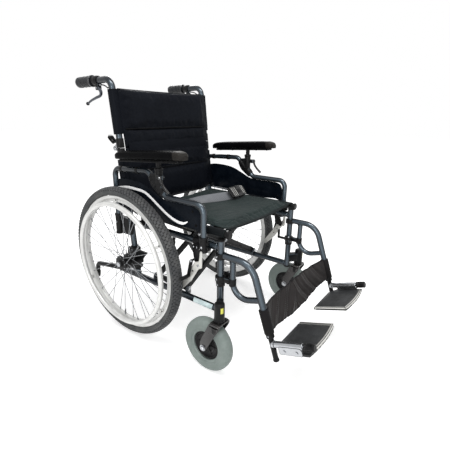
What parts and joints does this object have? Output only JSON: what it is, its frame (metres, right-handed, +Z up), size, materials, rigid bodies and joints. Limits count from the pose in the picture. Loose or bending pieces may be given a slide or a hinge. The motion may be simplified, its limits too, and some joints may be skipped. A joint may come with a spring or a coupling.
{
  "type": "bariatric wheelchair",
  "caption": "Wide folding manual wheelchair with a scissor cross-brace, spoked rear wheels with push rims, front casters, swing-away leg supports, lift-out armrests and a half-folding back.",
  "frame": {"origin": "On the floor, at the middle of the floor plan, from the footplates' noses to the rear tip tubes", "axes": "+Z up, -Y towards the footplates, +X towards the sitter's left"},
  "size_m": [0.737, 1.1178, 1.0091],
  "materials": {
    "frame_paint": "Dark slate blue-grey metallic lacquer, satin to glossy",
    "black_paint": "Black powder coat, satin",
    "fork_paint": "Dark brown-grey satin lacquer",
    "silver_rim": "Anodised aluminium, pale silver, with bright steel spokes",
    "tyre": "Black-grey tread with a smooth grey sidewall",
    "caster_tyre": "Non-marking greenish grey solid rubber, with fine round grooves",
    "bright_metal": "Bright plated metal",
    "cast_aluminium": "Pale cast aluminium, lightly polished",
    "lever_silver": "Satin silver-grey",
    "black_plastic": "Black moulded plastic, fine grain",
    "black_gloss": "Black moulded plastic with a soft shine",
    "grip": "Dark grey moulded grip with ribs",
    "pad": "Black polyurethane skin over foam, soft sheen",
    "seat_cloth": "Dark green-grey coated nylon with a dark hem",
    "back_cloth": "Black padded nylon with two stitched seams",
    "strap_cloth": "Charcoal nylon with bound edges",
    "webbing": "Grey woven webbing",
    "panel": "Dark blue-black moulded panel with a plain pale stripe",
    "cable": "Black outer casing"
  },
  "bodies": {
    "right_frame": {"side_frame_right": "frame_paint", "axle_plate_right": "black_paint", "tip_tube_right": "black_paint", "brake_body_right": "black_paint", "back_lower": "back_cloth", "calf_strap": "strap_cloth"},
    "left_frame": {"side_frame_left": "frame_paint", "axle_plate_left": "black_paint", "tip_tube_left": "black_paint", "brake_body_left": "black_paint"},
    "brace_a": {"brace_a": "black_paint"},
    "brace_b": {"brace_b": "black_paint"},
    "seat": {"seat_sling": "seat_cloth", "lap_belt": "webbing", "belt_buckle": "black_gloss"},
    "wheel_right": {"rear_tyre_right": "tyre", "rear_wheel_right": "silver_rim", "push_rim_right": "silver_rim"},
    "fork_right": {"caster_fork_right": "fork_paint"},
    "caster_right": {"caster_tyre_right": "caster_tyre", "caster_hub_right": "black_plastic"},
    "hanger_right": {"hanger_right": "frame_paint"},
    "hanger_latch_right": {"hanger_latch_right": "black_plastic"},
    "leg_right": {"leg_extension_right": "black_paint"},
    "footplate_right": {"footplate_right": "bright_metal"},
    "brake_lever_right": {"brake_lever_right": "cast_aluminium"},
    "brake_shoe_right": {"brake_shoe_right": "black_paint"},
    "back_right": {"back_cane_right": "frame_paint", "push_grip_right": "grip", "brake_cable_right": "cable", "back_upper": "back_cloth"},
    "attendant_lever_right": {"attendant_lever_right": "lever_silver"},
    "release_lever_right": {"release_lever_right": "black_plastic"},
    "armrest_right": {"armrest_frame_right": "frame_paint", "side_panel_right": "panel"},
    "armpad_right": {"armrest_post_right": "black_paint", "armpad_right": "pad"},
    "armrest_lever_right": {"armrest_lever_right": "black_gloss"},
    "wheel_left": {"rear_tyre_left": "tyre", "rear_wheel_left": "silver_rim", "push_rim_left": "silver_rim"},
    "fork_left": {"caster_fork_left": "fork_paint"},
    "caster_left": {"caster_tyre_left": "caster_tyre", "caster_hub_left": "black_plastic"},
    "hanger_left": {"hanger_left": "frame_paint"},
    "hanger_latch_left": {"hanger_latch_left": "black_plastic"},
    "leg_left": {"leg_extension_left": "black_paint"},
    "footplate_left": {"footplate_left": "bright_metal"},
    "brake_lever_left": {"brake_lever_left": "cast_aluminium"},
    "brake_shoe_left": {"brake_shoe_left": "black_paint"},
    "back_left": {"back_cane_left": "frame_paint", "push_grip_left": "grip", "brake_cable_left": "cable"},
    "attendant_lever_left": {"attendant_lever_left": "lever_silver"},
    "release_lever_left": {"release_lever_left": "black_plastic"},
    "armrest_left": {"armrest_frame_left": "frame_paint", "side_panel_left": "panel"},
    "armpad_left": {"armrest_post_left": "black_paint", "armpad_left": "pad"},
    "armrest_lever_left": {"armrest_lever_left": "black_gloss"}
  },
  "joints": [
    {"name": "fold", "type": "hinge", "parent": "right_frame", "child": "brace_a", "pos_m": [-0.24, 0.0578, 0.242], "axis": [0, -1, 0], "range_deg": [0, 41.5], "deforming": ["seat_sling", "lap_belt", "back_upper", "back_lower", "calf_strap"]},
    {"name": "fold_cross", "type": "hinge", "parent": "brace_a", "child": "brace_b", "pos_m": [0, 0.0578, 0.3695], "axis": [0, -1, 0], "range_deg": [-83, 0]},
    {"name": "fold_left", "type": "hinge", "parent": "brace_b", "child": "left_frame", "pos_m": [0.24, 0.0578, 0.242], "axis": [0, -1, 0], "range_deg": [0, 41.5]},
    {"name": "fold_seat", "type": "hinge", "parent": "brace_a", "child": "seat", "pos_m": [0.24, 0.0578, 0.497], "axis": [0, -1, 0], "range_deg": [-41.5, 0]},
    {"name": "wheel_spin_right", "type": "hinge", "parent": "right_frame", "child": "wheel_right", "pos_m": [-0.324, 0.2278, 0.305], "axis": [1, 0, 0], "continuous": true},
    {"name": "caster_swivel_right", "type": "hinge", "parent": "right_frame", "child": "fork_right", "pos_m": [-0.302, -0.2342, 0.24], "axis": [0, 0, 1], "continuous": true},
    {"name": "caster_spin_right", "type": "hinge", "parent": "fork_right", "child": "caster_right", "pos_m": [-0.302, -0.1872, 0.1], "axis": [1, 0, 0], "continuous": true},
    {"name": "hanger_swing_right", "type": "hinge", "parent": "right_frame", "child": "hanger_right", "pos_m": [-0.254, -0.2002, 0.4], "axis": [0, 0, -1], "range_deg": [0, 100]},
    {"name": "hanger_latch_right", "type": "hinge", "parent": "hanger_right", "child": "hanger_latch_right", "pos_m": [-0.226, -0.2122, 0.348], "axis": [0, 0, -1], "range_deg": [0, 25], "stiffness_Nm_per_rad": 0.3},
    {"name": "leg_length_right", "type": "slide", "parent": "hanger_right", "child": "leg_right", "axis": [0, -0.3338, -0.9426], "range_m": [-0.008, 0.09]},
    {"name": "footplate_flip_right", "type": "hinge", "parent": "leg_right", "child": "footplate_right", "pos_m": [-0.254, -0.4132, 0.1738], "axis": [0, -0.9426, 0.3338], "range_deg": [0, 90]},
    {"name": "brake_lever_right", "type": "hinge", "parent": "right_frame", "child": "brake_lever_right", "pos_m": [-0.29, -0.1382, 0.386], "axis": [-1, 0, 0], "range_deg": [0, 35]},
    {"name": "brake_shoe_right", "type": "hinge", "parent": "right_frame", "child": "brake_shoe_right", "pos_m": [-0.29, -0.1102, 0.398], "axis": [1, 0, 0], "range_deg": [0, 10.85]},
    {"name": "back_fold_right", "type": "hinge", "parent": "right_frame", "child": "back_right", "pos_m": [-0.254, 0.31958, 0.73996], "axis": [-1, 0, 0], "range_deg": [0, 95]},
    {"name": "attendant_lever_right", "type": "hinge", "parent": "back_right", "child": "attendant_lever_right", "pos_m": [-0.254, 0.4038, 0.962], "axis": [1, 0, 0], "range_deg": [0, 22], "stiffness_Nm_per_rad": 0.4},
    {"name": "back_release_right", "type": "hinge", "parent": "back_right", "child": "release_lever_right", "pos_m": [-0.254, 0.32619, 0.76337], "axis": [-1, 0, 0], "range_deg": [0, 25], "stiffness_Nm_per_rad": 0.3},
    {"name": "armrest_lift_right", "type": "slide", "parent": "right_frame", "child": "armrest_right", "axis": [0, 0, 1], "range_m": [0, 0.1]},
    {"name": "armpad_height_right", "type": "slide", "parent": "armrest_right", "child": "armpad_right", "axis": [0, 0, 1], "range_m": [0, 0.04]},
    {"name": "armrest_lever_right", "type": "hinge", "parent": "armrest_right", "child": "armrest_lever_right", "pos_m": [-0.298, 0.0318, 0.664], "axis": [-1, 0, 0], "range_deg": [0, 30], "stiffness_Nm_per_rad": 0.3},
    {"name": "wheel_spin_left", "type": "hinge", "parent": "left_frame", "child": "wheel_left", "pos_m": [0.324, 0.2278, 0.305], "axis": [1, 0, 0], "continuous": true},
    {"name": "caster_swivel_left", "type": "hinge", "parent": "left_frame", "child": "fork_left", "pos_m": [0.302, -0.2342, 0.24], "axis": [0, 0, 1], "continuous": true},
    {"name": "caster_spin_left", "type": "hinge", "parent": "fork_left", "child": "caster_left", "pos_m": [0.302, -0.1872, 0.1], "axis": [1, 0, 0], "continuous": true},
    {"name": "hanger_swing_left", "type": "hinge", "parent": "left_frame", "child": "hanger_left", "pos_m": [0.254, -0.2002, 0.4], "axis": [0, 0, 1], "range_deg": [0, 100]},
    {"name": "hanger_latch_left", "type": "hinge", "parent": "hanger_left", "child": "hanger_latch_left", "pos_m": [0.226, -0.2122, 0.348], "axis": [0, 0, 1], "range_deg": [0, 25], "stiffness_Nm_per_rad": 0.3},
    {"name": "leg_length_left", "type": "slide", "parent": "hanger_left", "child": "leg_left", "axis": [0, -0.3338, -0.9426], "range_m": [-0.008, 0.09]},
    {"name": "footplate_flip_left", "type": "hinge", "parent": "leg_left", "child": "footplate_left", "pos_m": [0.254, -0.4132, 0.1738], "axis": [0, 0.9426, -0.3338], "range_deg": [0, 90]},
    {"name": "brake_lever_left", "type": "hinge", "parent": "left_frame", "child": "brake_lever_left", "pos_m": [0.29, -0.1382, 0.386], "axis": [-1, 0, 0], "range_deg": [0, 35]},
    {"name": "brake_shoe_left", "type": "hinge", "parent": "left_frame", "child": "brake_shoe_left", "pos_m": [0.29, -0.1102, 0.398], "axis": [1, 0, 0], "range_deg": [0, 10.85]},
    {"name": "back_fold_left", "type": "hinge", "parent": "left_frame", "child": "back_left", "pos_m": [0.254, 0.31958, 0.73996], "axis": [-1, 0, 0], "range_deg": [0, 95]},
    {"name": "attendant_lever_left", "type": "hinge", "parent": "back_left", "child": "attendant_lever_left", "pos_m": [0.254, 0.4038, 0.962], "axis": [1, 0, 0], "range_deg": [0, 22], "stiffness_Nm_per_rad": 0.4},
    {"name": "back_release_left", "type": "hinge", "parent": "back_left", "child": "release_lever_left", "pos_m": [0.254, 0.32619, 0.76337], "axis": [-1, 0, 0], "range_deg": [0, 25], "stiffness_Nm_per_rad": 0.3},
    {"name": "armrest_lift_left", "type": "slide", "parent": "left_frame", "child": "armrest_left", "axis": [0, 0, 1], "range_m": [0, 0.1]},
    {"name": "armpad_height_left", "type": "slide", "parent": "armrest_left", "child": "armpad_left", "axis": [0, 0, 1], "range_m": [0, 0.04]},
    {"name": "armrest_lever_left", "type": "hinge", "parent": "armrest_left", "child": "armrest_lever_left", "pos_m": [0.298, 0.0318, 0.664], "axis": [-1, 0, 0], "range_deg": [0, 30], "stiffness_Nm_per_rad": 0.3}
  ],
  "couplings": [
    {"joint": "fold_cross", "follows": "fold", "ratio": -2},
    {"joint": "fold_left", "follows": "fold", "ratio": 1},
    {"joint": "fold_seat", "follows": "fold", "ratio": -1},
    {"joint": "footplate_flip_right", "follows": "fold", "ratio": 2.16},
    {"joint": "brake_shoe_right", "follows": "brake_lever_right", "ratio": 0.31},
    {"joint": "footplate_flip_left", "follows": "fold", "ratio": 2.16},
    {"joint": "brake_shoe_left", "follows": "brake_lever_left", "ratio": 0.31},
    {"joint": "back_fold_left", "follows": "back_fold_right", "ratio": 1}
  ]
}
